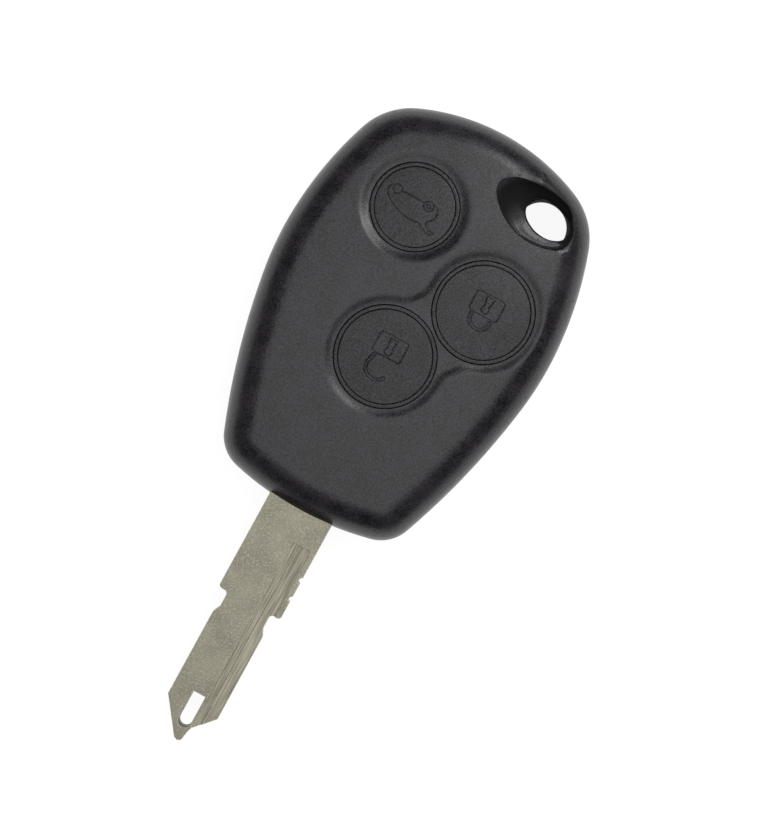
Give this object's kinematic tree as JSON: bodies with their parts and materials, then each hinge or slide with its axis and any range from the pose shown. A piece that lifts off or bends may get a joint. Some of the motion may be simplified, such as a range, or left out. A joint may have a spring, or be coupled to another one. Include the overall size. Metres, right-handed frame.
{
  "type": "key fob shell",
  "caption": "Remote car key: a crowned two-shell head with round push buttons, a keyring hole through one corner and a fixed flat blade.",
  "frame": {"origin": "on the flat back, below the middle of the whole key's length and width", "axes": "+Z out of the button face, +Y along the key from the blade's tip to the head's round end, +X to the right seen from above"},
  "size_m": [0.038, 0.0873, 0.0122],
  "materials": {
    "shell_plastic": "fine moulded grain",
    "silicone": "satin, smooth moulded",
    "blade_nickel": "nickel plate, satin with fine speckle",
    "screw_steel": "zinc plated",
    "board_laminate": "solder mask on glass laminate",
    "cell_steel": "bright rolled steel",
    "contact_steel": "tinned spring strip",
    "ferrite": "sintered, matte",
    "chip_epoxy": "moulded epoxy",
    "ceramic": "fired ceramic",
    "switch_plastic": "moulded"
  },
  "bodies": {
    "case": {"front_shell": "shell_plastic", "rear_shell": "shell_plastic", "button_mat": "silicone", "key_blade": "blade_nickel", "case_screw": "screw_steel", "circuit_board": "board_laminate", "coin_cell": "cell_steel", "positive_contact": "contact_steel", "negative_contact": "contact_steel", "transponder_coil": "ferrite", "control_chip": "chip_epoxy", "resonator": "cell_steel", "capacitors": "ceramic", "trunk_button_web": "silicone", "trunk_switch_housing": "switch_plastic", "trunk_switch_cover": "contact_steel", "trunk_switch_dome": "contact_steel", "lock_button_web": "silicone", "lock_switch_housing": "switch_plastic", "lock_switch_cover": "contact_steel", "lock_switch_dome": "contact_steel", "unlock_button_web": "silicone", "unlock_switch_housing": "switch_plastic", "unlock_switch_cover": "contact_steel", "unlock_switch_dome": "contact_steel"},
    "trunk_button": {"trunk_button": "silicone"},
    "trunk_plunger": {"trunk_switch_plunger": "switch_plastic"},
    "lock_button": {"lock_button": "silicone"},
    "lock_plunger": {"lock_switch_plunger": "switch_plastic"},
    "unlock_button": {"unlock_button": "silicone"},
    "unlock_plunger": {"unlock_switch_plunger": "switch_plastic"}
  },
  "joints": [
    {"name": "trunk_button_press", "type": "slide", "parent": "case", "child": "trunk_button", "axis": [0, 0, -1], "range_m": [0, 0.0003], "stiffness_N_per_m": 800, "deforming": ["trunk_button_web"]},
    {"name": "trunk_plunger_slide", "type": "slide", "parent": "case", "child": "trunk_plunger", "axis": [0, 0, -1], "range_m": [0, 0.0003], "deforming": ["trunk_switch_dome"]},
    {"name": "lock_button_press", "type": "slide", "parent": "case", "child": "lock_button", "axis": [0, 0, -1], "range_m": [0, 0.0003], "stiffness_N_per_m": 800, "deforming": ["lock_button_web"]},
    {"name": "lock_plunger_slide", "type": "slide", "parent": "case", "child": "lock_plunger", "axis": [0, 0, -1], "range_m": [0, 0.0003], "deforming": ["lock_switch_dome"]},
    {"name": "unlock_button_press", "type": "slide", "parent": "case", "child": "unlock_button", "axis": [0, 0, -1], "range_m": [0, 0.0003], "stiffness_N_per_m": 800, "deforming": ["unlock_button_web"]},
    {"name": "unlock_plunger_slide", "type": "slide", "parent": "case", "child": "unlock_plunger", "axis": [0, 0, -1], "range_m": [0, 0.0003], "deforming": ["unlock_switch_dome"]}
  ],
  "couplings": [
    {"joint": "trunk_plunger_slide", "follows": "trunk_button_press", "ratio": 1},
    {"joint": "lock_plunger_slide", "follows": "lock_button_press", "ratio": 1},
    {"joint": "unlock_plunger_slide", "follows": "unlock_button_press", "ratio": 1}
  ]
}
